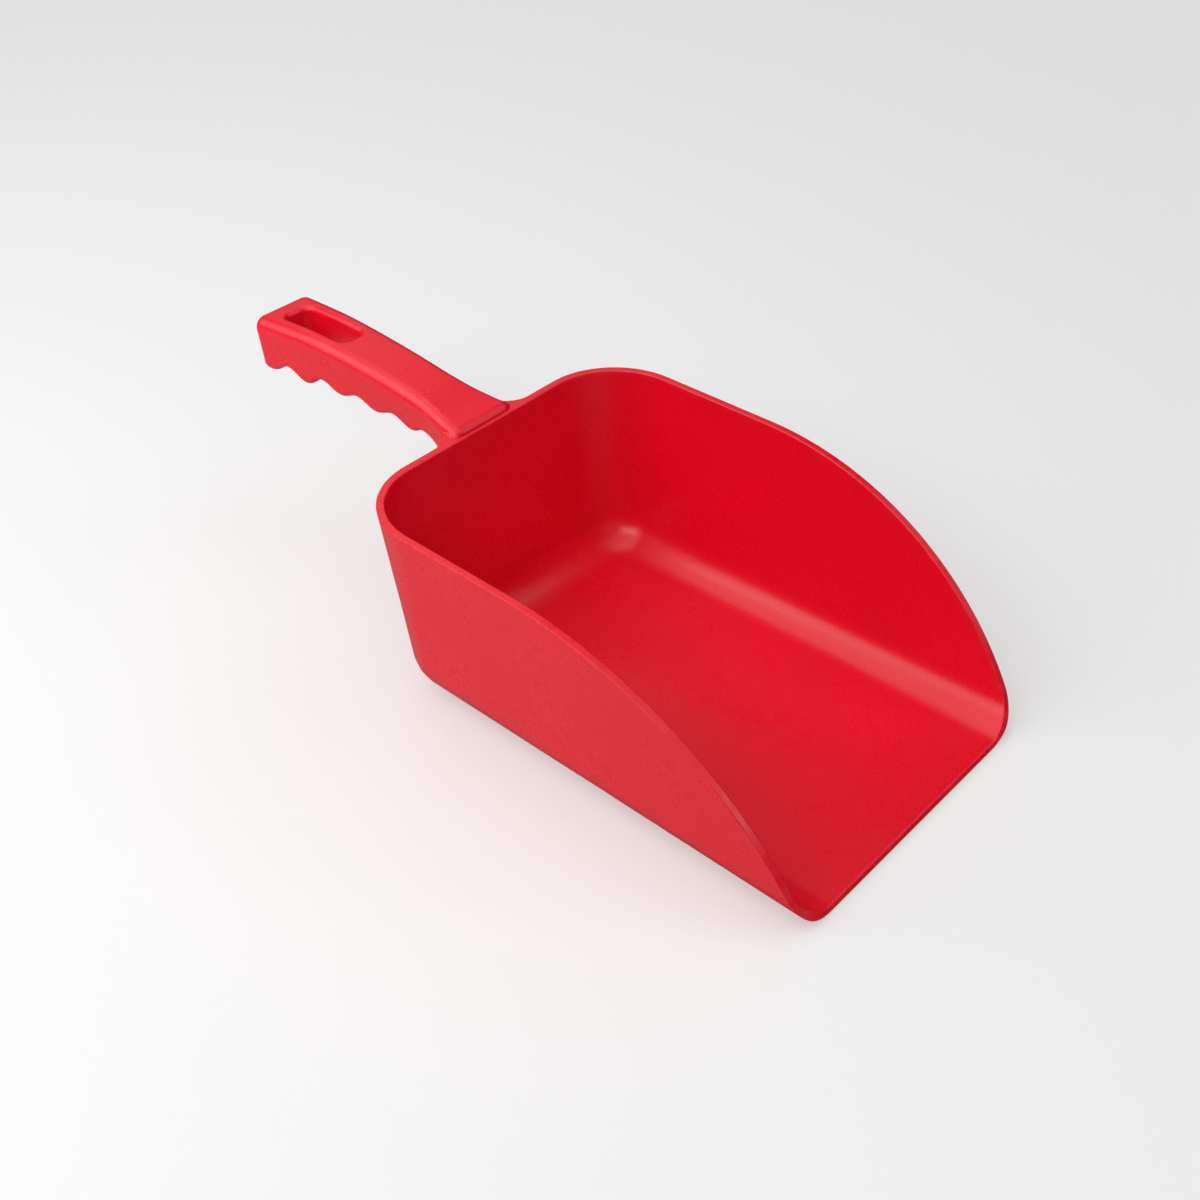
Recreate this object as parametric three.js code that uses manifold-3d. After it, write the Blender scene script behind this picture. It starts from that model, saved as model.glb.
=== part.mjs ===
// Feed scoop: a moulded tub with an open, swept front and a finger-grip handle with a hang slot.
//
// Millimetres. +X points from the handle to the lip, +Y across the scoop, +Z up.
// The origin is the centre of the flat underside that the scoop rests on. While the
// parts are drawn, x is measured from the back rim's outer face and z from the underside.

import * as THREE from "three";
import { mergeVertices } from "three/addons/utils/BufferGeometryUtils.js";
import Module from "manifold-3d";

const wasm = await Module();
wasm.setup();

const QUARTER_TURN = Math.PI / 2;
const degrees = THREE.MathUtils.degToRad;

// Bowl
const BOWL_HEIGHT = 87.5;
const RIM_WIDTH = 160; // over the outside of the rim, at the back
const WALL = 3.4; // walls and floor alike
const CORNER_RADIUS = 36; // back corners, seen from above at the rim
const FLOOR_RADIUS = 20; // outside round between floor and walls
const SIDE_DRAFT = degrees(6.35);
const BACK_DRAFT = degrees(10.2);
const BACK_SLOPE = Math.tan(BACK_DRAFT);
const SPLAY = Math.tan(degrees(0.9)); // the sides open slightly towards the lip

// Side view of the rim: level at the back, then a long round that runs down to the lip
const SWEEP_START = 91;
const SWEEP_RADIUS = 151.3;
const SWEEP_TURN = degrees(62.5);
const NOSE_RADIUS = 13.1; // the tighter round that ends the sweep at the lip

// Handle
const TAIL_X = -126.7; // at the bottom of the tail's end face
const TAIL_LEAN = Math.tan(degrees(4.2)); // the end face leans out towards the top
const LEAN_LENGTH = 28; // how much of the tail the lean fades over
const END_X = 2.2; // the handle's raised end stands on the rim
const GRIP_DRAFT = Math.tan(degrees(4));
const TOP_EDGE_RADIUS = 6;
const BOTTOM_EDGE_RADIUS = 2.6;
const TAIL_RADIUS = 4.6;
const END_RADIUS = 3.2;
const GRIP_TOP = [[TAIL_X, 97.3], [-92, 99.1], [-55, 97.5], [-28, 94.5], [-10, 91.5], [END_X, 90.1]];
const GRIP_HALF_WIDTH = [[TAIL_X, 16.9], [-85, 15.1], [-42, 14.1], [-21, 14.6], [-8.5, 16.4], [END_X, 17.4]];

// Finger grooves under the handle: ridges and hollows in turn
const GROOVE_PITCH = 22.4;
const FIRST_RIDGE_X = -120.5;
const RIDGE_Z = 75.7;
const HOLLOW_Z = 79;
const RIDGE_DROPS = [3.6, 2.6, 0.3, 0, 0]; // from the tail, how much lower each ridge hangs
const HOLLOW_DROPS = [1.8, 0.2, 0.1, 0];

// Foot, where the handle grows into the back wall
const FOOT_START = { x: -22.8, z: 78.8 }; // the last hollow
const FOOT_SWEEP_RADIUS = 15.7; // side view: round and down from the last hollow,
const FOOT_SWEEP_TURN = degrees(52); // straight on,
const FOOT_HEEL_RADIUS = 20; // and round into the wall
const FOOT_FILLET = 11.5; // seen from above, each side of the handle
const FOOT_INSET = 0.05; // the foot's sides start this far inside the handle's

// Hang slot, a little wider towards the tail
const SLOT_LENGTH = 39.2;
const SLOT_FRONT_WIDTH = 12.4;
const SLOT_BACK_WIDTH = 14;
const SLOT_CENTRE_X = -97.4;
const SLOT_CORNER_RADIUS = 4.2;

const JOINT_GAP = 0.3; // clearance modelled between the handle and the bowl
const OVERSHOOT = 5; // how far cutting shapes run past what they cut

// How finely round stretches are divided
const CORNER_STEPS = 10;
const FLOOR_STEPS = 6;
const EDGE_STEPS = 4;
const SWEEP_STEPS = 28;
const GRIP_STEPS = 52;
const END_STEPS = 4; // round over the tail's end, and over the end on the rim
const FOOT_STEPS = 26;

// ---------------------------------------------------------------- solids

function toSolid(geometry) {
  geometry.deleteAttribute("normal");
  geometry.deleteAttribute("uv");
  const merged = mergeVertices(geometry, 1e-4);
  return new wasm.Manifold(
    new wasm.Mesh({
      numProp: 3,
      vertProperties: merged.attributes.position.array,
      triVerts: new Uint32Array(merged.index.array),
    }),
  );
}

function toGeometry(solid) {
  const mesh = solid.getMesh();
  const geometry = new THREE.BufferGeometry();
  geometry.setAttribute("position", new THREE.BufferAttribute(mesh.vertProperties, mesh.numProp));
  geometry.setIndex(new THREE.BufferAttribute(mesh.triVerts, 1));
  geometry.computeVertexNormals();
  return geometry;
}

// A closed skin over rings of equally many points. The rings run anticlockwise, seen from
// the end that the last ring is at.
function loft(rings) {
  const count = rings[0].length;
  const points = rings.flat();
  const triangles = [];
  for (let i = 0; i + 1 < rings.length; i++) {
    for (let j = 0; j < count; j++) {
      const a = i * count + j;
      const b = i * count + ((j + 1) % count);
      triangles.push(a, b, a + count, b, b + count, a + count);
    }
  }
  for (const last of [false, true]) {
    const ring = last ? rings.at(-1) : rings[0];
    const start = last ? (rings.length - 1) * count : 0;
    const centre = points.length;
    points.push(ring.reduce((sum, p) => sum.add(p), new THREE.Vector3()).divideScalar(count));
    for (let j = 0; j < count; j++) {
      const a = start + j;
      const b = start + ((j + 1) % count);
      triangles.push(centre, ...(last ? [a, b] : [b, a]));
    }
  }
  const geometry = new THREE.BufferGeometry().setFromPoints(points);
  geometry.setIndex(triangles);
  return toSolid(geometry);
}

// An outline drawn in side view (x, z), pulled straight across the scoop.
function acrossScoop(outline, width) {
  const geometry = new THREE.ExtrudeGeometry(outline, {
    depth: width,
    bevelEnabled: false,
    curveSegments: SWEEP_STEPS,
  });
  geometry.rotateX(QUARTER_TURN);
  geometry.translate(0, width / 2, 0);
  return toSolid(geometry);
}

// ---------------------------------------------------------------- bowl

// One upright line down the tub's skin, from the floor to the given top. The skin lies
// `inset` inside the tub's outer face. `facing` is 0 where the wall faces back and a
// quarter turn where it faces sideways. Each point is a distance out from the corner's
// centre and a height.
function wallLine(facing, inset, top) {
  const slope = Math.hypot(
    BACK_SLOPE * Math.cos(facing),
    Math.tan(SIDE_DRAFT) * Math.sin(facing),
  );
  const lean = Math.atan(slope);
  const radius = FLOOR_RADIUS - inset;
  const reachAt = (z) => CORNER_RADIUS - inset / Math.cos(lean) - (BOWL_HEIGHT - z) * slope;
  const centreReach = reachAt(FLOOR_RADIUS) - radius / Math.cos(lean);
  const line = [];
  for (let i = 0; i <= FLOOR_STEPS; i++) {
    const turn = (i / FLOOR_STEPS) * (QUARTER_TURN - lean);
    line.push([centreReach + radius * Math.sin(turn), FLOOR_RADIUS - radius * Math.cos(turn)]);
  }
  line.push([reachAt(top), top]);
  return line;
}

// The whole tub as a block, its open front run on to frontX.
function tubBlock(inset, top, frontX) {
  const centreY = RIM_WIDTH / 2 + SPLAY * CORNER_RADIUS - CORNER_RADIUS;
  const stations = [];
  for (let i = 0; i <= CORNER_STEPS; i++) {
    const facing = QUARTER_TURN * (1 - i / CORNER_STEPS);
    stations.push({ x: CORNER_RADIUS, y: centreY, facing });
  }
  const front = {
    x: frontX,
    y: centreY + SPLAY * (frontX - CORNER_RADIUS),
    facing: QUARTER_TURN,
  };
  const left = [front, ...stations].map((station) => ({ ...station, side: 1 }));
  const right = [...left].reverse().map((station) => ({ ...station, side: -1 }));
  const lines = [...left, ...right].map(({ x, y, facing, side }) =>
    wallLine(facing, inset, top).map(
      ([reach, z]) =>
        new THREE.Vector3(x - reach * Math.cos(facing), side * (y + reach * Math.sin(facing)), z),
    ),
  );
  const rings = lines[0].map((_, level) => lines.map((line) => line[level]));
  return loft(rings);
}

// What is left of the tub in side view: everything below the rim and behind the lip.
function rimOutline() {
  const noseX = SWEEP_START + (SWEEP_RADIUS - NOSE_RADIUS) * Math.sin(SWEEP_TURN);
  const noseZ = BOWL_HEIGHT - SWEEP_RADIUS + (SWEEP_RADIUS - NOSE_RADIUS) * Math.cos(SWEEP_TURN);
  const turned = QUARTER_TURN - SWEEP_TURN;
  const outline = new THREE.Shape();
  outline.moveTo(-OVERSHOOT, -OVERSHOOT);
  outline.lineTo(noseX + NOSE_RADIUS, -OVERSHOOT);
  outline.absarc(noseX, noseZ, NOSE_RADIUS, 0, turned, false);
  outline.absarc(SWEEP_START, BOWL_HEIGHT - SWEEP_RADIUS, SWEEP_RADIUS, turned, QUARTER_TURN, false);
  outline.lineTo(-OVERSHOOT, BOWL_HEIGHT);
  return outline;
}

function lipX() {
  return SWEEP_START + (SWEEP_RADIUS - NOSE_RADIUS) * Math.sin(SWEEP_TURN) + NOSE_RADIUS;
}

function bowlSolid() {
  const outside = tubBlock(0, BOWL_HEIGHT + OVERSHOOT, lipX() + OVERSHOOT);
  const inside = tubBlock(WALL, BOWL_HEIGHT + 2 * OVERSHOOT, lipX() + 2 * OVERSHOOT);
  const kept = acrossScoop(rimOutline(), RIM_WIDTH + 8 * OVERSHOOT);
  return outside.subtract(inside).intersect(kept);
}

// ---------------------------------------------------------------- handle

// A curve whose x only grows, as a function from x to its other coordinate.
function readOff(curve) {
  const samples = curve.getPoints(GRIP_STEPS * 4);
  return (x) => {
    const next = samples.findIndex((sample) => sample.x >= x);
    if (next <= 0) return next < 0 ? samples.at(-1).y : samples[0].y;
    const [from, to] = [samples[next - 1], samples[next]];
    return THREE.MathUtils.mapLinear(x, from.x, to.x, from.y, to.y);
  };
}

function smoothThrough(points) {
  return readOff(new THREE.SplineCurve(points.map(([x, value]) => new THREE.Vector2(x, value))));
}

const gripTop = smoothThrough(GRIP_TOP);
const gripHalfWidth = smoothThrough(GRIP_HALF_WIDTH);

// The ridge and hollow points of the underside, from the tail to the start of the foot.
function grooveTurns() {
  const turns = RIDGE_DROPS.flatMap((drop, i) => [
    { x: FIRST_RIDGE_X + i * GROOVE_PITCH, z: RIDGE_Z - drop },
    { x: FIRST_RIDGE_X + (i + 0.5) * GROOVE_PITCH, z: HOLLOW_Z - HOLLOW_DROPS[i] },
  ]);
  return [...turns.slice(0, -1), FOOT_START];
}

const underside = grooveTurns();

function gripBottom(x) {
  if (x <= underside[0].x) return underside[0].z;
  if (x >= FOOT_START.x) return FOOT_START.z;
  const next = underside.findIndex((turn) => turn.x > x);
  const [from, to] = [underside[next - 1], underside[next]];
  const swing = (1 - Math.cos((Math.PI * (x - from.x)) / (to.x - from.x))) / 2;
  return THREE.MathUtils.lerp(from.z, to.z, swing);
}

// How far a rounded end draws the skin in, at a distance from the end.
function roundOff(radius, distance) {
  const into = Math.max(0, radius - distance);
  return radius - Math.sqrt(radius ** 2 - into ** 2);
}

// One section across the handle, anticlockwise seen from the lip.
function gripSection(x) {
  const tailInset = roundOff(TAIL_RADIUS, x - TAIL_X);
  const inset = tailInset + roundOff(END_RADIUS, END_X - x);
  const top = gripTop(x) - inset;
  const bottom = gripBottom(x) + tailInset;
  const topHalf = gripHalfWidth(x) - inset;
  const bottomHalf = topHalf - (top - bottom) * GRIP_DRAFT;
  const corners = [
    { y: bottomHalf - BOTTOM_EDGE_RADIUS, z: bottom + BOTTOM_EDGE_RADIUS, radius: BOTTOM_EDGE_RADIUS },
    { y: topHalf - TOP_EDGE_RADIUS, z: top - TOP_EDGE_RADIUS, radius: TOP_EDGE_RADIUS },
    { y: TOP_EDGE_RADIUS - topHalf, z: top - TOP_EDGE_RADIUS, radius: TOP_EDGE_RADIUS },
    { y: BOTTOM_EDGE_RADIUS - bottomHalf, z: bottom + BOTTOM_EDGE_RADIUS, radius: BOTTOM_EDGE_RADIUS },
  ];
  const lean = TAIL_LEAN * Math.max(0, 1 - (x - TAIL_X) / LEAN_LENGTH);
  return corners.flatMap(({ y, z, radius }, quarter) =>
    Array.from({ length: EDGE_STEPS + 1 }, (_, i) => {
      const turn = (quarter - 1 + i / EDGE_STEPS) * QUARTER_TURN;
      const height = z + radius * Math.sin(turn);
      return new THREE.Vector3(x - lean * (height - bottom), y + radius * Math.cos(turn), height);
    }),
  );
}

function gripBar() {
  const stations = [];
  for (let i = 0; i < END_STEPS; i++) {
    stations.push(TAIL_X + TAIL_RADIUS * (1 - Math.cos((i / END_STEPS) * QUARTER_TURN)));
  }
  for (let i = 0; i < GRIP_STEPS; i++) {
    stations.push(THREE.MathUtils.lerp(TAIL_X + TAIL_RADIUS, END_X - END_RADIUS, i / GRIP_STEPS));
  }
  for (let i = 0; i <= END_STEPS; i++) {
    stations.push(END_X - END_RADIUS * (1 - Math.sin((i / END_STEPS) * QUARTER_TURN)));
  }
  return loft(stations.map(gripSection));
}

// The foot's underside in side view (x, z), from the last hollow to the back wall.
function footSweep() {
  const leftToTurn = QUARTER_TURN - BACK_DRAFT - FOOT_SWEEP_TURN;
  const kneeX = FOOT_START.x + FOOT_SWEEP_RADIUS * Math.sin(FOOT_SWEEP_TURN);
  const kneeZ = FOOT_START.z - FOOT_SWEEP_RADIUS * (1 - Math.cos(FOOT_SWEEP_TURN));
  const toWall = (BACK_SLOPE * (BOWL_HEIGHT - kneeZ) - kneeX) * Math.cos(BACK_DRAFT);
  const straight = (toWall - FOOT_HEEL_RADIUS * (1 - Math.cos(leftToTurn))) / Math.sin(leftToTurn);
  const heelX = kneeX + straight * Math.cos(FOOT_SWEEP_TURN) - FOOT_HEEL_RADIUS * Math.sin(FOOT_SWEEP_TURN);
  const heelZ = kneeZ - straight * Math.sin(FOOT_SWEEP_TURN) - FOOT_HEEL_RADIUS * Math.cos(FOOT_SWEEP_TURN);
  const lastTurn = Math.acos(1 - JOINT_GAP / FOOT_HEEL_RADIUS);
  const sweep = new THREE.Path();
  sweep.absarc(
    FOOT_START.x, FOOT_START.z - FOOT_SWEEP_RADIUS, FOOT_SWEEP_RADIUS,
    QUARTER_TURN, QUARTER_TURN - FOOT_SWEEP_TURN, true,
  );
  sweep.absarc(
    heelX, heelZ, FOOT_HEEL_RADIUS,
    QUARTER_TURN - FOOT_SWEEP_TURN, BACK_DRAFT + lastTurn, true,
  );
  return sweep;
}

// One section of the foot, parallel to the back wall and `out` behind it, from the underside
// at the given height up to the rim. Near the wall it spreads to both sides.
function footSection(out, bottom) {
  const spread = roundOff(FOOT_FILLET, out) - FOOT_INSET;
  const topHalf = gripHalfWidth(-out) + spread;
  const bottomHalf = topHalf - (BOWL_HEIGHT - bottom) * GRIP_DRAFT;
  const radius = BOTTOM_EDGE_RADIUS + spread;
  const side = Array.from({ length: EDGE_STEPS + 1 }, (_, i) => {
    const turn = (i / EDGE_STEPS - 1) * QUARTER_TURN;
    return [bottomHalf - radius * (1 - Math.cos(turn)), bottom + radius * (1 + Math.sin(turn))];
  });
  side.push([topHalf, BOWL_HEIGHT]);
  const mirrored = side.map(([y, z]) => [-y, z]).reverse();
  return [...side, ...mirrored].map(
    ([y, z]) => new THREE.Vector3(BACK_SLOPE * (BOWL_HEIGHT - z) - out, y, z),
  );
}

function foot() {
  const sections = footSweep().getSpacedPoints(FOOT_STEPS);
  return loft(sections.map(({ x, y: z }) => footSection(BACK_SLOPE * (BOWL_HEIGHT - z) - x, z)));
}

// The slot runs straight down through the handle.
function hangSlot() {
  const halfRun = SLOT_LENGTH / 2 - SLOT_CORNER_RADIUS;
  const outline = new THREE.Shape();
  [[1, 1], [-1, 1], [-1, -1], [1, -1]].forEach(([alongX, alongY], quarter) => {
    const width = alongX > 0 ? SLOT_FRONT_WIDTH : SLOT_BACK_WIDTH;
    outline.absarc(
      SLOT_CENTRE_X + alongX * halfRun, alongY * (width / 2 - SLOT_CORNER_RADIUS), SLOT_CORNER_RADIUS,
      quarter * QUARTER_TURN, (quarter + 1) * QUARTER_TURN, false,
    );
  });
  const [bottom, top] = [RIDGE_Z - 4 * OVERSHOOT, BOWL_HEIGHT + 4 * OVERSHOOT];
  const geometry = new THREE.ExtrudeGeometry(outline, {
    depth: top - bottom,
    bevelEnabled: false,
    curveSegments: EDGE_STEPS,
  });
  geometry.translate(0, 0, bottom);
  return toSolid(geometry);
}

function handleSolid() {
  const bowlSpace = tubBlock(-JOINT_GAP, BOWL_HEIGHT + JOINT_GAP, lipX());
  return gripBar().subtract(bowlSpace).add(foot()).subtract(hangSlot());
}

// ---------------------------------------------------------------- scoop

const redPolypropylene = new THREE.MeshStandardMaterial({
  name: "red_polypropylene",
  color: 0xd31626,
  roughness: 0.38,
  metalness: 0,
});

function part(name, solid) {
  const mesh = new THREE.Mesh(toGeometry(solid), redPolypropylene);
  mesh.name = name;
  return mesh;
}

// The flat of the underside runs from the back's floor round to the lip.
const flatStartX = CORNER_RADIUS - wallLine(0, 0, BOWL_HEIGHT)[0][0];

const scoop = new THREE.Group();
scoop.name = "feed_scoop";
scoop.add(part("bowl", bowlSolid()));
scoop.add(part("handle", handleSolid()));
scoop.position.x = -(flatStartX + lipX()) / 2;

export default scoop;
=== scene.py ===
"""A one-piece red feed scoop, moulded in polypropylene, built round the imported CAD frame.

Lengths are in millimetres while the pieces are drawn: x runs from the outer face of the
bowl's back rim towards the lip, y across the scoop, and z up from the bowl's underside.
placed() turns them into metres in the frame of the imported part.
"""

import math

import bpy
import numpy as np
from mathutils import Matrix, Vector


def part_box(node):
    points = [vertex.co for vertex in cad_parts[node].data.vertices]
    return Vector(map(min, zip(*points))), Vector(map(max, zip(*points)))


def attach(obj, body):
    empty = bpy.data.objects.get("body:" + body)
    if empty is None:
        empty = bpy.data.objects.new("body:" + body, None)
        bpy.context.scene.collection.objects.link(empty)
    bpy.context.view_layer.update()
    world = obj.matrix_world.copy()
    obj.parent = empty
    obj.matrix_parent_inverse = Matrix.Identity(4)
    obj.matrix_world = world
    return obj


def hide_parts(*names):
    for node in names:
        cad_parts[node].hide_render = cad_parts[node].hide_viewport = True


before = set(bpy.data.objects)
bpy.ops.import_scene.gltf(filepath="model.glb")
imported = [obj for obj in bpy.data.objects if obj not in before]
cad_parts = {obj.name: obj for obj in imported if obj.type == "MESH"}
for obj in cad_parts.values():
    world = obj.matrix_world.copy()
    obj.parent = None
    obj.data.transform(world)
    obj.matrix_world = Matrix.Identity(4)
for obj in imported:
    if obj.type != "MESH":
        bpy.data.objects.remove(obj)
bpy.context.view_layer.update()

MM = 0.001
QUARTER = math.pi / 2
BOWL_LOW, BOWL_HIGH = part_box("bowl")
ORIGIN = np.array([BOWL_LOW.x, (BOWL_LOW.y + BOWL_HIGH.y) / 2, BOWL_LOW.z])

# Bowl
RIM_Z = (BOWL_HIGH.z - BOWL_LOW.z) / MM
RIM_WIDTH = 160.0
WALL = 3.4
CORNER_RADIUS = 36.0
FLOOR_RADIUS = 20.0
SIDE_SLOPE = math.tan(math.radians(6.35))
BACK_DRAFT = math.radians(10.2)
BACK_SLOPE = math.tan(BACK_DRAFT)
SPLAY = math.tan(math.radians(0.9))
EDGE_ROUND = 0.5  # along both edges of the rim and the lip

# Side view of the rim: level at the back, a long round down, and a tighter one at the lip
SWEEP_X = 91.0
SWEEP_RADIUS = 151.3
SWEEP_TURN = math.radians(62.5)
SWEEP_Z = RIM_Z - SWEEP_RADIUS
NOSE_RADIUS = 13.1
NOSE_X = SWEEP_X + (SWEEP_RADIUS - NOSE_RADIUS) * math.sin(SWEEP_TURN)
NOSE_Z = SWEEP_Z + (SWEEP_RADIUS - NOSE_RADIUS) * math.cos(SWEEP_TURN)

# Plan of the tub's left half, walked from the middle of the back to the lip
BACK_HALF = RIM_WIDTH / 2 + SPLAY * CORNER_RADIUS - CORNER_RADIUS
CORNER_RUN = CORNER_RADIUS * QUARTER
SIDE_START = BACK_HALF + CORNER_RUN

# How finely the bowl is divided
BACK_STEPS = 8
CORNER_STEPS = 20
LEVEL_STEPS = 9
SWEEP_STEPS = 36
TURN_STEPS = 12
TOE_STEPS = 4
LIP_STEPS = BACK_STEPS + CORNER_STEPS // 2 - TOE_STEPS
EDGE_STEPS = 5
RIM_STEPS = 2
CLIMB_STEPS = 26

# Handle
TAIL_X = -126.7
TAIL_LEAN = math.tan(math.radians(4.2))
END_X = 2.2
GRIP_DRAFT = math.tan(math.radians(4))
BOTTOM_EDGE_RADIUS = 2.6
TAIL_RADIUS = 4.6
END_CORNER_RADIUS = 4.6
GRIP_TOP = ((TAIL_X, 97.3), (-92, 99.1), (-55, 97.5), (-28, 94.5), (-10, 91.5), (END_X, 90.1))
GRIP_HALF_WIDTH = (
    (TAIL_X, 16.9), (-85, 15.1), (-42, 14.1), (-21, 14.6), (-8.5, 16.4), (END_X, 17.4)
)
TOP_EDGE_RADIUS = ((-30, 6.0), (-6, 4.8), (END_X - 1, 3.2))
GROOVE_PITCH = 22.4
FIRST_RIDGE_X = -120.5
RIDGE_Z = 75.7
HOLLOW_Z = 79.0
RIDGE_DROPS = (3.6, 2.6, 0.3, 0.0, 0.0)
HOLLOW_DROPS = (1.8, 0.2, 0.1, 0.0)

# Foot of the handle, where it grows into the back wall
FOOT_START = (-22.8, 78.8)
FOOT_SWEEP_RADIUS = 15.7
FOOT_SWEEP_TURN = math.radians(52)
FOOT_HEEL_RADIUS = 20.0
FOOT_FILLET = 11.5
FOOT_UNDER_FILLET = 2.5
FOOT_FILLET_FADE = 4.0  # the fillet changes from one to the other this far round the lower edges
CREASE_RADIUS = ((-6, 2.4), (-1, 1.6), (1.5, 0.5))  # between the grip's sides and the rim
SEAM = 0.02  # the foot's skin dives into the wall at this depth
PLUG_DEPTH = 1.3  # and ends, out of sight, at this one

# Hang slot
SLOT_X = -97.4
SLOT_LENGTH = 39.2
SLOT_FRONT_WIDTH = 12.4
SLOT_BACK_WIDTH = 14.0
SLOT_CORNER_RADIUS = 4.2
SLOT_MOUTH_RADIUS = 2.6

# The grid that the handle's skin is drawn from. It is too tight round the foot: the skin past
# x = 6 and past y = 28 either way is cut off there, which leaves the handle's mesh open.
HANDLE_CELL = 0.5
HANDLE_LOW = (TAIL_X - 5, -28, 40)
HANDLE_HIGH = (6, 28, 101)


# ---------------------------------------------------------------- meshes


def placed(points):
    """Points in millimetres in the drawing frame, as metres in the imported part's frame."""
    return np.asarray(points, float) * MM + ORIGIN


def smooth_mesh(name, points, faces, normals, wear):
    """A smooth-shaded object. `wear`, 0 to 1, says how exposed each point is to rubbing."""
    mesh = bpy.data.meshes.new(name)
    mesh.from_pydata(placed(points).tolist(), [], np.asarray(faces).tolist())
    mesh.polygons.foreach_set("use_smooth", np.ones(len(mesh.polygons), bool))
    exposed = mesh.attributes.new("wear", "FLOAT", "POINT")
    exposed.data.foreach_set("value", np.asarray(wear, np.float32))
    mesh.normals_split_custom_set_from_vertices(normals.tolist())
    piece = bpy.data.objects.new(name, mesh)
    bpy.context.scene.collection.objects.link(piece)
    return piece


def unit(vectors):
    return vectors / np.linalg.norm(vectors, axis=-1, keepdims=True)


# ---------------------------------------------------------------- bowl


def lean_and_foot(along):
    """At each place round the plan: the way the wall faces, its lean, and the reach of its foot."""
    facing = np.clip((along - BACK_HALF) / CORNER_RUN, 0, 1) * QUARTER
    slope = np.hypot(BACK_SLOPE * np.cos(facing), SIDE_SLOPE * np.sin(facing))
    lean = np.arctan(slope)
    foot = CORNER_RADIUS - (RIM_Z - FLOOR_RADIUS) * slope - FLOOR_RADIUS / np.cos(lean)
    return facing, lean, foot


def skin(along, climb, depth):
    """Points of the tub's left half.

    `along` walks round the plan, `climb` goes up the section from the floor's edge (or in
    along the floor, where it is negative), and `depth` is how far inside the outer face.
    """
    facing, lean, foot = lean_and_foot(along)
    x = CORNER_RADIUS + np.maximum(along - SIDE_START, 0)
    y = np.minimum(along, BACK_HALF) + SPLAY * (x - CORNER_RADIUS)
    radius = FLOOR_RADIUS - depth
    round_end = FLOOR_RADIUS * (QUARTER - lean)
    turn = np.clip(climb, 0, round_end) / FLOOR_RADIUS
    above = np.maximum(climb - round_end, 0)
    reach = foot + radius * np.sin(turn) + above * np.sin(lean) + np.minimum(climb, 0)
    height = FLOOR_RADIUS - radius * np.cos(turn) + above * np.cos(lean)
    return np.stack([x - reach * np.cos(facing), y + reach * np.sin(facing), height], -1)


def skin_normal(along, climb, depth, step=0.01):
    up = skin(along, climb + step, depth) - skin(along, climb - step, depth)
    round_plan = skin(along + step, climb, depth) - skin(along - step, climb, depth)
    return unit(np.cross(up, round_plan))


def climb_to(height, along, depth):
    """The climb at which the skin reaches a height."""
    _, lean, _ = lean_and_foot(along)
    radius = FLOOR_RADIUS - depth
    round_top = FLOOR_RADIUS - radius * np.sin(lean)
    on_wall = FLOOR_RADIUS * (QUARTER - lean) + (height - round_top) / np.cos(lean)
    on_round = FLOOR_RADIUS * np.arccos(np.clip((FLOOR_RADIUS - height) / radius, -1, 1))
    return np.where(height > round_top, on_wall, on_round)


def rim_reach(height, inset):
    """How far forward the rim's side view reaches at a height, `inset` inside the edge."""
    nose = NOSE_RADIUS - inset
    sweep = SWEEP_RADIUS - inset
    in_nose = NOSE_X + np.sqrt(np.maximum(nose**2 - (height - NOSE_Z) ** 2, 0))
    in_sweep = SWEEP_X + np.sqrt(np.maximum(sweep**2 - (height - SWEEP_Z) ** 2, 0))
    return np.where(height < NOSE_Z + nose * np.cos(SWEEP_TURN), in_nose, in_sweep)


def rim_normal(points):
    """Which way the rim's flat faces, in side view, at points of the rim."""
    x, z = points[:, 0], points[:, 2]
    in_nose = z < NOSE_Z + NOSE_RADIUS * math.cos(SWEEP_TURN)
    centre_x = np.where(in_nose, NOSE_X, np.minimum(x, SWEEP_X))
    centre_z = np.where(in_nose, NOSE_Z, SWEEP_Z)
    return unit(np.stack([x - centre_x, np.zeros_like(x), z - centre_z], -1))


TURN_CLIMB = 33.0  # where the stations stop following the sweep and follow the floor's round
TOE_CLIMB = 8.0  # the station that the corner of the floor's grid hangs on


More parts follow.
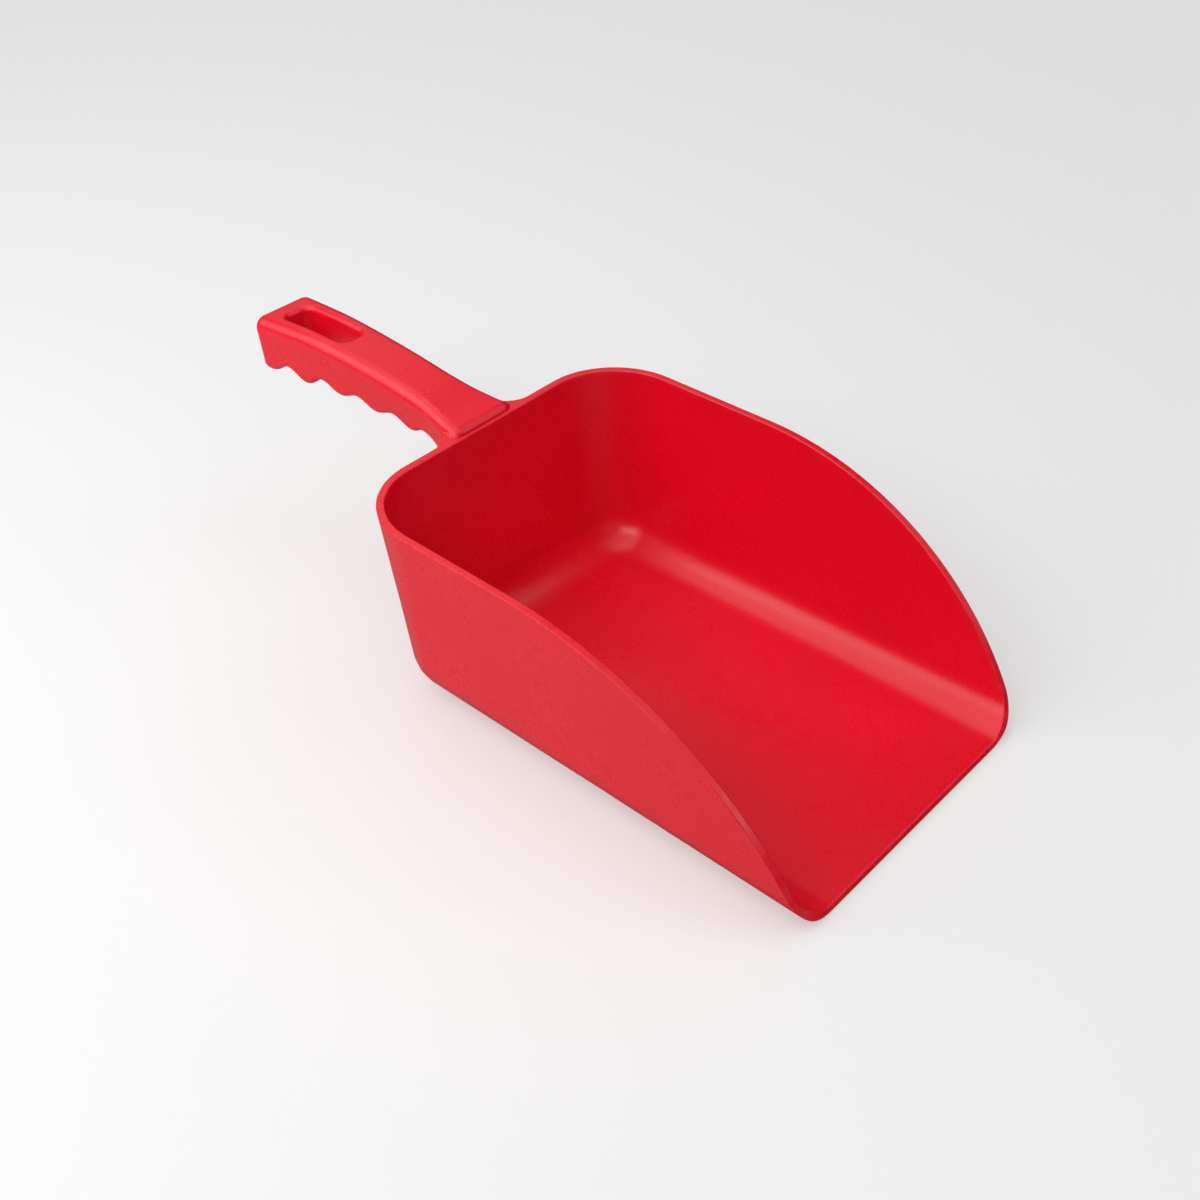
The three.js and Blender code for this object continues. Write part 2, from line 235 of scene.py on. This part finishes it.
def rim_stations(depth, inset):
    """(along, climb) of each station of the left half of the rim, from the back to the lip."""
    level = np.concatenate(
        [
            np.linspace(0, BACK_HALF, BACK_STEPS, endpoint=False),
            np.linspace(BACK_HALF, SIDE_START, CORNER_STEPS, endpoint=False),
            np.linspace(SIDE_START, SIDE_START + SWEEP_X - CORNER_RADIUS, LEVEL_STEPS, endpoint=False),
        ]
    )
    level_climb = climb_to(RIM_Z - inset, level, depth)

    side = np.array([SIDE_START])
    turn_z = skin(side, np.array([TURN_CLIMB]), 0)[0, 2]
    last_angle = math.acos((turn_z - SWEEP_Z) / SWEEP_RADIUS)
    angle = np.linspace(0, last_angle, SWEEP_STEPS, endpoint=False)
    sweep_x = SWEEP_X + (SWEEP_RADIUS - inset) * np.sin(angle)
    sweep_z = SWEEP_Z + (SWEEP_RADIUS - inset) * np.cos(angle)
    sweep = SIDE_START + sweep_x - CORNER_RADIUS
    sweep_climb = climb_to(sweep_z, sweep, depth)

    turn_climb = np.concatenate(
        [
            np.linspace(TURN_CLIMB, TOE_CLIMB, TURN_STEPS, endpoint=False),
            np.linspace(TOE_CLIMB, 0, TOE_STEPS, endpoint=False),
        ]
    )
    turn_z = skin(np.full_like(turn_climb, SIDE_START), turn_climb, depth)[:, 2]
    turn = SIDE_START + rim_reach(turn_z, inset) - CORNER_RADIUS

    lip = SIDE_START + rim_reach(np.full(LIP_STEPS + 1, depth), inset) - CORNER_RADIUS
    half_width = skin(lip, np.zeros_like(lip), depth)[:, 1]
    lip_climb = -half_width * np.linspace(0, 1, LIP_STEPS + 1)

    return (
        np.concatenate([level, sweep, turn, lip]),
        np.concatenate([level_climb, sweep_climb, turn_climb, lip_climb]),
    )


CORNER_STATION = BACK_STEPS + CORNER_STEPS // 2
SIDE_STATION = BACK_STEPS + CORNER_STEPS
TOE_STATION = SIDE_STATION + LEVEL_STEPS + SWEEP_STEPS + TURN_STEPS
TOE_BACK = 12.0  # the floor's grid stops this far behind the lip


def floor_stations(along, climb):
    """Where each station's line ends on the flat of the floor: (along, climb)."""
    end_along = along.copy()
    end_climb = np.zeros_like(climb)
    side = slice(SIDE_STATION, TOE_STATION + 1)
    walked = np.cumsum(np.hypot(np.diff(along[side]), np.diff(climb[side])))
    share = np.concatenate([[0], walked / walked[-1]])
    front = along[-1] - TOE_BACK
    end_along[side] = along[SIDE_STATION] + share * (front - along[SIDE_STATION])
    end_along[TOE_STATION:] = front
    toe, middle = climb[TOE_STATION], climb[-1]
    half_width = skin(np.array([front]), np.zeros(1), 0)[0, 1]
    end_climb[TOE_STATION:] = -half_width * (climb[TOE_STATION:] - toe) / (middle - toe)
    return end_along, end_climb


def both_halves(left):
    """A closed loop from the left half's stations, first and last being on the middle."""
    mirror = np.array([1, -1, 1])
    return np.concatenate([left, left[-2:0:-1] * mirror])


def skin_loops(depth):
    """Loops of points and normals from the floor up to where the rim's edge starts to round."""
    along, climb = rim_stations(depth, EDGE_ROUND)
    end_along, end_climb = floor_stations(along, climb)
    loops = []
    for share in 1 - (1 - np.linspace(0, 1, CLIMB_STEPS + 1)) ** 1.25:
        a = end_along + (along - end_along) * share
        c = end_climb + (climb - end_climb) * share
        normal = skin_normal(a, c, depth) * (1 if depth == 0 else -1)
        loops.append((both_halves(skin(a, c, depth)), both_halves(normal)))
    return loops


def rim_loops():
    """Loops over the rim: round the outer edge, across the flat, and round the inner edge."""
    profile = []
    for turn in np.linspace(0, QUARTER, EDGE_STEPS + 1):
        profile.append((EDGE_ROUND * (1 - math.cos(turn)), EDGE_ROUND * (1 - math.sin(turn)), turn))
    for share in np.linspace(0, 1, RIM_STEPS + 1)[1:-1]:
        profile.append((EDGE_ROUND + share * (WALL - 2 * EDGE_ROUND), 0.0, QUARTER))
    for turn in np.linspace(QUARTER, 2 * QUARTER, EDGE_STEPS + 1):
        depth = WALL - EDGE_ROUND * (1 + math.cos(turn))
        profile.append((depth, EDGE_ROUND * (1 - math.sin(turn)), turn))
    loops = []
    for depth, inset, turn in profile:
        along, climb = rim_stations(depth, inset)
        points = skin(along, climb, depth)
        outward = skin_normal(along, climb, depth)
        normal = unit(outward * math.cos(turn) + rim_normal(points) * math.sin(turn))
        loops.append((both_halves(points), both_halves(normal)))
    return loops


def floor_grid(loop):
    """Rows of point indices and new points that fill the flat inside the loop with squares."""
    count = len(loop)
    columns = 2 * CORNER_STATION
    rows = TOE_STATION - CORNER_STATION
    back = loop[np.arange(CORNER_STATION, -CORNER_STATION - 1, -1) % count]
    front = loop[np.arange(TOE_STATION, TOE_STATION + columns + 1)]
    left = loop[np.arange(CORNER_STATION, TOE_STATION + 1)]
    right = loop[np.arange(-CORNER_STATION, -TOE_STATION - 1, -1) % count]
    across = np.linspace(0, 1, columns + 1)[None, :, None]
    along = np.linspace(0, 1, rows + 1)[:, None, None]
    ends = (1 - along) * back[None] + along * front[None]
    sides = (1 - across) * left[:, None] + across * right[:, None]
    corners = (1 - along) * ((1 - across) * back[0] + across * back[-1]) + along * (
        (1 - across) * front[0] + across * front[-1]
    )
    return ends + sides - corners


def floor_patch(loop_points, first_index, loop_start):
    """(new points, quads) of the floor, sharing the loop's own points along its edges."""
    count = len(loop_points)
    grid = floor_grid(loop_points)
    rows, columns = grid.shape[0] - 1, grid.shape[1] - 1
    index = np.zeros((rows + 1, columns + 1), int)
    index[0] = np.arange(CORNER_STATION, -CORNER_STATION - 1, -1) % count
    index[-1] = np.arange(TOE_STATION, TOE_STATION + columns + 1)
    index[:, 0] = np.arange(CORNER_STATION, TOE_STATION + 1)
    index[:, -1] = np.arange(-CORNER_STATION, -TOE_STATION - 1, -1) % count
    index += loop_start
    inner = grid[1:-1, 1:-1].reshape(-1, 3)
    index[1:-1, 1:-1] = first_index + np.arange(len(inner)).reshape(rows - 1, columns - 1)
    quads = np.stack([index[:-1, :-1], index[1:, :-1], index[1:, 1:], index[:-1, 1:]], -1)
    return inner, quads.reshape(-1, 4)


def make_bowl():
    outer, inner = skin_loops(0), skin_loops(WALL)
    rim = rim_loops()
    loops = outer[:-1] + rim + inner[-2::-1]
    count = len(loops[0][0])
    points = np.concatenate([loop for loop, _ in loops])
    normals = np.concatenate([normal for _, normal in loops])
    on_rim = np.zeros(len(loops))
    on_rim[len(outer) - 1 : len(outer) - 1 + len(rim)] = 1
    wear = np.repeat(on_rim, count)

    here = np.arange(count)
    ahead = (here + 1) % count
    quads = [
        np.stack([here + a, here + b, ahead + b, ahead + a], -1)
        for a, b in ((i * count, (i + 1) * count) for i in range(len(loops) - 1))
    ]
    for loop_start, up in ((0, -1), ((len(loops) - 1) * count, 1)):
        patch, squares = floor_patch(points[loop_start : loop_start + count], len(points), loop_start)
        points = np.concatenate([points, patch])
        normals = np.concatenate([normals, np.tile([0.0, 0.0, up], (len(patch), 1))])
        wear = np.concatenate([wear, np.zeros(len(patch))])
        quads.append(squares if up < 0 else squares[:, ::-1])
    return smooth_mesh("scoop_bowl", points, np.concatenate(quads), normals, wear)


# ---------------------------------------------------------------- handle


def smooth_through(knots, steps=400):
    """x and value samples of a Catmull-Rom curve through the knots."""
    knots = np.array(knots, float)
    padded = np.concatenate([knots[:1], knots, knots[-1:]])
    t = np.linspace(0, 1, steps, endpoint=False)[:, None]
    pieces = []
    for a, b, c, d in zip(padded, padded[1:], padded[2:], padded[3:]):
        pieces.append(
            b + t * ((c - a) / 2 + t * ((2 * a - 5 * b + 4 * c - d) / 2 + t * (3 * b - a - 3 * c + d) / 2))
        )
    return np.concatenate(pieces + [knots[-1:]])


def foot_sweep(steps=200):
    """The foot's underside in side view: round from the last hollow, straight, round into the wall."""
    left_to_turn = QUARTER - BACK_DRAFT - FOOT_SWEEP_TURN
    x, z = FOOT_START
    down_the_wall = 10.0
    turn = np.linspace(0, FOOT_SWEEP_TURN, steps)
    first = np.stack(
        [x + FOOT_SWEEP_RADIUS * np.sin(turn), z - FOOT_SWEEP_RADIUS * (1 - np.cos(turn))], -1
    )
    knee_x, knee_z = first[-1]
    to_wall = (BACK_SLOPE * (RIM_Z - knee_z) - knee_x) * math.cos(BACK_DRAFT)
    straight = (to_wall - FOOT_HEEL_RADIUS * (1 - math.cos(left_to_turn))) / math.sin(left_to_turn)
    heel_x = knee_x + straight * math.cos(FOOT_SWEEP_TURN)
    heel_z = knee_z - straight * math.sin(FOOT_SWEEP_TURN)
    turn = np.linspace(FOOT_SWEEP_TURN, FOOT_SWEEP_TURN + left_to_turn, steps)
    second = np.stack(
        [
            heel_x + FOOT_HEEL_RADIUS * (np.sin(turn) - math.sin(FOOT_SWEEP_TURN)),
            heel_z + FOOT_HEEL_RADIUS * (np.cos(turn) - math.cos(FOOT_SWEEP_TURN)),
        ],
        -1,
    )
    below = second[-1:] + down_the_wall * np.array([[math.sin(BACK_DRAFT), -math.cos(BACK_DRAFT)]])
    return np.concatenate([first, second, below])


def underside(steps=60):
    """x and z samples of the handle's underside: ridges and hollows, then the foot's sweep."""
    turns = []
    for i, drop in enumerate(RIDGE_DROPS):
        turns.append((FIRST_RIDGE_X + i * GROOVE_PITCH, RIDGE_Z - drop))
        if i < len(HOLLOW_DROPS):
            turns.append((FIRST_RIDGE_X + (i + 0.5) * GROOVE_PITCH, HOLLOW_Z - HOLLOW_DROPS[i]))
    turns.append(FOOT_START)
    t = np.linspace(0, 1, steps, endpoint=False)
    swing = (1 - np.cos(math.pi * t)) / 2
    waves = [
        np.stack([x0 + (x1 - x0) * t, z0 + (z1 - z0) * swing], -1)
        for (x0, z0), (x1, z1) in zip(turns, turns[1:])
    ]
    return np.concatenate(waves + [foot_sweep()])


TOP_CURVE = smooth_through(GRIP_TOP)
WIDTH_CURVE = smooth_through(GRIP_HALF_WIDTH)
UNDER_CURVE = underside()


def read_off(curve, x):
    return np.interp(x, curve[:, 0], curve[:, 1])


def cut_round(a, b, radius):
    """What two solids share, the edge between them rounded. Both are signed distances."""
    over_a, over_b = np.maximum(radius + a, 0), np.maximum(radius + b, 0)
    return np.minimum(-radius, np.maximum(a, b)) + np.hypot(over_a, over_b)


def join_round(a, b, radius):
    """Two solids as one, with a fillet between them. Both are signed distances."""
    near_a, near_b = np.maximum(radius - a, 0), np.maximum(radius - b, 0)
    return np.maximum(radius, np.minimum(a, b)) - np.hypot(near_a, near_b)


def grip_faces(x, y, z):
    """Signed distances to the handle's side, top and underside."""
    top = read_off(TOP_CURVE, x)
    side = np.abs(y) - (read_off(WIDTH_CURVE, x) - (top - z) * GRIP_DRAFT)
    step = 0.05
    under_z = read_off(UNDER_CURVE, x)
    under_slope = (read_off(UNDER_CURVE, x + step) - read_off(UNDER_CURVE, x - step)) / (2 * step)
    return side, z - top, (under_z - z) / np.hypot(1, under_slope)


def handle_distance(points):
    """Signed distance, close to the surface, of the whole handle with its foot and slot."""
    x, y, z = np.moveaxis(points, -1, 0)
    side, top, under = grip_faces(x, y, z)
    top_radius = np.interp(x, *zip(*TOP_EDGE_RADIUS))
    lower_half = cut_round(side, under, BOTTOM_EDGE_RADIUS)
    grip = np.maximum(cut_round(side, top, top_radius), lower_half)

    tail = TAIL_X - TAIL_LEAN * (z - RIDGE_Z + RIDGE_DROPS[0]) - x
    round_end = cut_round(side, x - END_X, END_CORNER_RADIUS)
    bar = cut_round(np.maximum(cut_round(round_end, top, top_radius), lower_half), tail, TAIL_RADIUS)

    behind_wall = (BACK_SLOPE * (RIM_Z - z) - x) * math.cos(BACK_DRAFT)
    beside = np.clip((side - under + FOOT_FILLET_FADE) / (2 * FOOT_FILLET_FADE), 0, 1)
    fillet = FOOT_UNDER_FILLET + (FOOT_FILLET - FOOT_UNDER_FILLET) * beside**2 * (3 - 2 * beside)
    spread = join_round(grip, behind_wall + SEAM, fillet)
    foot = cut_round(spread, z - RIM_Z - SEAM / 2, EDGE_ROUND)
    half_foot = GRIP_HALF_WIDTH[-1][1] + FOOT_FILLET
    foot = np.maximum(foot, np.maximum(np.abs(y) - half_foot, -behind_wall - PLUG_DEPTH))
    foot = np.maximum(foot, 2 * FOOT_START[0] - x)
    crease = np.clip(-spread / 2, 0.01, np.interp(x, *zip(*CREASE_RADIUS)))

    slot_ends = (SLOT_X - SLOT_LENGTH / 2, SLOT_X + SLOT_LENGTH / 2)
    slot_width = np.interp(x, slot_ends, (SLOT_BACK_WIDTH, SLOT_FRONT_WIDTH))
    past_x = np.abs(x - SLOT_X) - (SLOT_LENGTH / 2 - SLOT_CORNER_RADIUS)
    past_y = np.abs(y) - (slot_width / 2 - SLOT_CORNER_RADIUS)
    slot = np.hypot(np.maximum(past_x, 0), np.maximum(past_y, 0)) - SLOT_CORNER_RADIUS
    slot += np.minimum(np.maximum(past_x, past_y), 0)

    return cut_round(join_round(bar, foot, crease), -slot, SLOT_MOUTH_RADIUS)


def gradient(field, points, step=0.02):
    shifts = np.eye(3) * step
    return np.stack([field(points + s) - field(points - s) for s in shifts], -1) / (2 * step)


def onto_surface(field, points, rounds=4):
    for _ in range(rounds):
        slope = gradient(field, points)
        size = np.maximum((slope**2).sum(-1), 0.2)
        step = (field(points) / size)[:, None] * slope
        points = points - np.clip(step, -HANDLE_CELL, HANDLE_CELL)
    return points


def surface_net(field, low, high, cell):
    """Points and quads of the surface where field is zero, one point in each cell it crosses."""
    axes = [np.arange(a, b + cell, cell) for a, b in zip(low, high)]
    corners = np.stack(np.meshgrid(*axes, indexing="ij"), -1)
    values = np.stack([field(layer) for layer in corners])
    inside = values < 0
    shape = np.array(inside.shape) - 1
    total = np.zeros((*shape, 3))
    crossings = np.zeros(shape)
    for axis in range(3):
        here = [slice(None)] * 3
        there = [slice(None)] * 3
        here[axis], there[axis] = slice(0, -1), slice(1, None)
        v0, v1 = values[tuple(here)], values[tuple(there)]
        crossed = (v0 < 0) != (v1 < 0)
        share = np.where(crossed, v0 / np.where(crossed, v0 - v1, 1), 0)
        spot = corners[tuple(here)].copy()
        spot[..., axis] += share * cell
        spot *= crossed[..., None]
        others = [a for a in range(3) if a != axis]
        for offset in ((0, 0), (0, 1), (1, 0), (1, 1)):
            window = [slice(None)] * 3
            for other, shift in zip(others, offset):
                window[other] = slice(shift, shift + shape[other])
            total += spot[tuple(window)]
            crossings += crossed[tuple(window)]
    used = crossings > 0
    index = np.full(shape, -1)
    index[used] = np.arange(used.sum())
    points = total[used] / crossings[used][:, None]

    quads = []
    for axis in range(3):
        b, c = (axis + 1) % 3, (axis + 2) % 3
        here = [slice(1, -1)] * 3
        here[axis] = slice(0, -1)
        there = [slice(1, -1)] * 3
        there[axis] = slice(1, None)
        first, second = inside[tuple(here)], inside[tuple(there)]
        for leaving in (True, False):
            crossed = (first & ~second) if leaving else (~first & second)
            at = np.argwhere(crossed)
            at[:, b] += 1
            at[:, c] += 1
            ring = []
            for shift_b, shift_c in ((1, 1), (0, 1), (0, 0), (1, 0)):
                spot = at.copy()
                spot[:, b] -= shift_b
                spot[:, c] -= shift_c
                ring.append(index[tuple(spot.T)])
            quad = np.stack(ring, -1)
            quads.append(quad if leaving else quad[:, ::-1])
    return points, np.concatenate(quads)


def relaxed(points, quads, field, rounds=4):
    """Evens out the net by moving each point towards the middle of its neighbours."""
    ends = np.concatenate([quads[:, [0, 1]], quads[:, [1, 2]], quads[:, [2, 3]], quads[:, [3, 0]]])
    counts = np.bincount(ends.ravel(), minlength=len(points))
    for _ in range(rounds):
        total = np.zeros_like(points)
        for axis in range(3):
            total[:, axis] += np.bincount(ends[:, 0], points[ends[:, 1], axis], len(points))
            total[:, axis] += np.bincount(ends[:, 1], points[ends[:, 0], axis], len(points))
        points = points + 0.6 * (total / counts[:, None] - points)
        points = onto_surface(field, points, rounds=2)
    return onto_surface(field, points)


def edge_exposure(field, points, reach=0.6, full=0.35):
    """0 on flats and in hollows, 1 on the tightest rounded edges."""
    around = sum(field(points + s) + field(points - s) for s in np.eye(3) * reach)
    bend = (around - 6 * field(points)) / reach**2
    return np.clip(bend / full, 0, 1)


def make_handle():
    points, quads = surface_net(handle_distance, HANDLE_LOW, HANDLE_HIGH, HANDLE_CELL)
    points = relaxed(points, quads, handle_distance)
    normals = unit(gradient(handle_distance, points))
    wear = edge_exposure(handle_distance, points)
    return smooth_mesh("scoop_handle", points, quads, normals, wear)


# ---------------------------------------------------------------- material


class Nodes:
    """A small helper for wiring the node tree of a material or a world."""

    def __init__(self, owner):
        owner.use_nodes = True
        self.tree = owner.node_tree
        self.tree.nodes.clear()

    def add(self, kind, inputs=None, **settings):
        node = self.tree.nodes.new(kind)
        for key, value in settings.items():
            setattr(node, key, value)
        for key, value in (inputs or {}).items():
            socket = node.inputs[key]
            if isinstance(value, bpy.types.NodeSocket):
                self.tree.links.new(value, socket)
            else:
                socket.default_value = value
        return node

    def noise(self, where, scale, detail=3.0, roughness=0.55):
        inputs = {"Vector": where, "Scale": scale, "Detail": detail, "Roughness": roughness}
        return self.add("ShaderNodeTexNoise", inputs).outputs["Fac"]

    def remap(self, value, low, high, to_low=0.0, to_high=1.0):
        inputs = {"Value": value, "From Min": low, "From Max": high, "To Min": to_low, "To Max": to_high}
        return self.add("ShaderNodeMapRange", inputs).outputs["Result"]

    def math(self, operation, a, b):
        return self.add("ShaderNodeMath", {0: a, 1: b}, operation=operation).outputs[0]

    def mix(self, share, a, b):
        node = self.add("ShaderNodeMix", data_type="RGBA")
        for key, value in (("Factor", share), ("A", a), ("B", b)):
            socket = next(s for s in node.inputs if s.name == key and s.enabled)
            if isinstance(value, bpy.types.NodeSocket):
                self.tree.links.new(value, socket)
            else:
                socket.default_value = value
        return next(s for s in node.outputs if s.enabled)


RED = (0.79, 0.0028, 0.019, 1.0)
RED_DEEP = (0.69, 0.0020, 0.014, 1.0)
RED_RUBBED = (0.83, 0.030, 0.052, 1.0)
ROUGHNESS = 0.28
RUBBED_ROUGHER = 0.15
RUBBED_PALER = 0.55
POLYPROPYLENE_IOR = 1.49

PAPER = (0.86, 0.86, 0.86, 1.0)
PAPER_ROUGHNESS = 0.7
BACKDROP = 0.88  # how bright the room looks behind the floor
NEAR_GLOW = 0.4  # the backdrop's share in what the camera sees of the floor beside the scoop
FLOOR_FADE = (0.3, 2.2)  # that share grows to 1 between these distances, in metres


def red_polypropylene():
    """Satin polypropylene, coloured through: faint mottling, a fine moulded grain, and a little
    paling and roughening where edges get rubbed."""
    material = bpy.data.materials.new("red_polypropylene")
    n = Nodes(material)
    where = n.add("ShaderNodeTexCoord").outputs["Object"]

    cloud = n.noise(where, 14.0, detail=2.0)
    speck = n.noise(where, 900.0, detail=2.0)
    mottled = n.math("ADD", n.remap(cloud, 0.3, 0.7, 0.0, 0.5), n.remap(speck, 0.35, 0.65, 0.0, 0.25))
    colour = n.mix(mottled, RED, RED_DEEP)

    exposed = n.add("ShaderNodeAttribute", attribute_name="wear").outputs["Fac"]
    patchy = n.remap(n.noise(where, 160.0, detail=5.0, roughness=0.7), 0.45, 0.75)
    rubbed = n.math("MULTIPLY", exposed, patchy)
    colour = n.mix(n.math("MULTIPLY", rubbed, RUBBED_PALER), colour, RED_RUBBED)

    smudge = n.remap(n.noise(where, 28.0, detail=4.0, roughness=0.6), 0.3, 0.7, -0.03, 0.05)
    fine = n.remap(n.noise(where, 1500.0, detail=1.0), 0.3, 0.7, -0.02, 0.02)
    rough = n.math("ADD", n.math("ADD", smudge, fine), ROUGHNESS)
    rough = n.math("ADD", rough, n.math("MULTIPLY", rubbed, RUBBED_ROUGHER))

    grain = n.noise(where, 2600.0, detail=2.0)
    wave = n.noise(where, 45.0, detail=1.0)
    bump = n.add("ShaderNodeBump", {"Height": wave, "Strength": 0.10, "Distance": 0.0006})
    bump = n.add(
        "ShaderNodeBump",
        {"Height": grain, "Strength": 0.22, "Distance": 0.00004, "Normal": bump.outputs["Normal"]},
    )

    shader = n.add(
        "ShaderNodeBsdfPrincipled",
        {
            "Base Color": colour,
            "Roughness": rough,
            "IOR": POLYPROPYLENE_IOR,
            "Subsurface Weight": 0.08,
            "Subsurface Radius": (0.0035, 0.0006, 0.0006),
            "Subsurface Scale": 1.0,
            "Normal": bump.outputs["Normal"],
        },
    )
    n.add("ShaderNodeOutputMaterial", {"Surface": shader.outputs["BSDF"]})
    return material


def pale_floor():
    """Plain pale paper. What the camera sees of it turns into the backdrop further out."""
    material = bpy.data.materials.new("pale_floor")
    n = Nodes(material)
    shader = n.add("ShaderNodeBsdfPrincipled", {"Base Color": PAPER, "Roughness": PAPER_ROUGHNESS})
    glow = n.add("ShaderNodeEmission", {"Strength": BACKDROP})
    where = n.add("ShaderNodeTexCoord").outputs["Object"]
    away = n.add("ShaderNodeVectorMath", {0: where}, operation="LENGTH").outputs["Value"]
    seen = n.add("ShaderNodeLightPath").outputs["Is Camera Ray"]
    share = n.math("MULTIPLY", seen, n.remap(away, *FLOOR_FADE, NEAR_GLOW, 1))
    surface = n.add("ShaderNodeMixShader", {0: share, 1: shader.outputs[0], 2: glow.outputs[0]})
    n.add("ShaderNodeOutputMaterial", {"Surface": surface.outputs[0]})
    return material


# ---------------------------------------------------------------- stage


def make_stage():
    """A square of floor under the scoop, 12 m across."""
    mesh = bpy.data.meshes.new("floor")
    reach, level = 6.0, float(ORIGIN[2])
    around = ((-1, -1), (1, -1), (1, 1), (-1, 1))
    corners = [(x * reach, y * reach, level) for x, y in around]
    mesh.from_pydata(corners, [], [(0, 1, 2, 3)])
    mesh.materials.append(pale_floor())
    floor = bpy.data.objects.new("floor", mesh)
    floor.visible_glossy = False  # reflections see studio_world() below the horizon instead
    bpy.context.scene.collection.objects.link(floor)


def direction(azimuth, elevation):
    """The unit vector towards a viewer. Azimuth 0 is on the -Y side, and 90 on the +X side."""
    a, e = math.radians(azimuth), math.radians(elevation)
    return Vector((math.sin(a) * math.cos(e), -math.cos(a) * math.cos(e), math.sin(e)))


def softbox(name, azimuth, elevation, distance, size, power):
    """A rectangular lamp that faces the origin. Lengths are in metres and power in watts."""
    lamp = bpy.data.lights.new(name, "AREA")
    lamp.shape = "RECTANGLE"
    lamp.size, lamp.size_y = size
    lamp.energy = power
    holder = bpy.data.objects.new(name, lamp)
    towards = direction(azimuth, elevation)
    holder.location = towards * distance
    holder.rotation_mode = "QUATERNION"
    holder.rotation_quaternion = towards.to_track_quat("Z", "Y")
    bpy.context.scene.collection.objects.link(holder)


SKY_GLOW = 0.06
GROUND_GLOW = 0.69
GROUND_GLOW_FROM = (-0.77, -0.64, 0.0)


def studio_world():
    """A glow that grows towards the top. Below the horizon, where only reflections look, it
    comes from one side, so that the scoop's open front mirrors a darker room."""
    world = bpy.data.worlds.new("studio")
    n = Nodes(world)
    towards = n.add("ShaderNodeTexCoord").outputs["Generated"]
    height = n.add("ShaderNodeSeparateXYZ", {0: towards}).outputs["Z"]
    side = n.add("ShaderNodeVectorMath", {0: towards, 1: GROUND_GLOW_FROM}, operation="DOT_PRODUCT")
    below = n.remap(height, -0.05, 0, GROUND_GLOW, 0)
    ground = n.math("MULTIPLY", n.remap(side.outputs["Value"], 0, 1), below)
    glow = n.math("ADD", n.remap(height, 0, 0.6, 0, SKY_GLOW), ground)
    seen = n.add("ShaderNodeLightPath").outputs["Is Camera Ray"]
    background = n.add("ShaderNodeBackground", {"Strength": n.remap(seen, 0, 1, glow, BACKDROP)})
    n.add("ShaderNodeOutputWorld", {"Surface": background.outputs["Background"]})
    return world


def make_light():
    bpy.context.scene.world = studio_world()
    softbox("key", 19, 38, 2.4, (1.8, 0.6), 14)
    softbox("near", -38, 36, 0.85, (1.0, 0.5), 3.4)
    softbox("top", 0, 80, 2.4, (3.4, 3.0), 26)
    softbox("over_handle", -90, 68, 1.0, (1.1, 1.1), 2.6)
    softbox("right", 62, 30, 2.4, (2.4, 2.4), 5)
    softbox("behind", 145, 50, 2.4, (1.6, 1.6), 6.5)
    softbox("behind_low", 129, 25, 2.4, (0.4, 0.4), 3)
    softbox("behind_left", -128, 30, 2.4, (1.4, 1.2), 2.3)


CAMERA_AIM = (66.4, 0.0, 26.8)  # in the drawing frame, in millimetres
CAMERA_DISTANCE = 0.6959  # in metres
CAMERA_AZIMUTH = 40.88
CAMERA_ELEVATION = 38.23
CAMERA_ROLL = 0.32
CAMERA_LENS = 49.46


def make_camera():
    camera = bpy.data.objects.new("camera", bpy.data.cameras.new("camera"))
    camera.data.sensor_width = 36.0
    camera.data.lens = CAMERA_LENS
    back = direction(CAMERA_AZIMUTH, CAMERA_ELEVATION)
    turn = back.to_track_quat("Z", "Y").to_matrix() @ Matrix.Rotation(math.radians(CAMERA_ROLL), 3, "Z")
    camera.matrix_world = turn.to_4x4()
    camera.location = Vector(placed(CAMERA_AIM)) + back * CAMERA_DISTANCE
    bpy.context.scene.collection.objects.link(camera)
    bpy.context.scene.camera = camera


# ---------------------------------------------------------------- scene

plastic = red_polypropylene()
for piece, node in ((make_bowl(), "bowl"), (make_handle(), "handle")):
    piece.data.materials.append(plastic)
    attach(piece, "root")
    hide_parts(node)

make_stage()
make_light()
make_camera()
bpy.context.scene.view_settings.view_transform = "Standard"
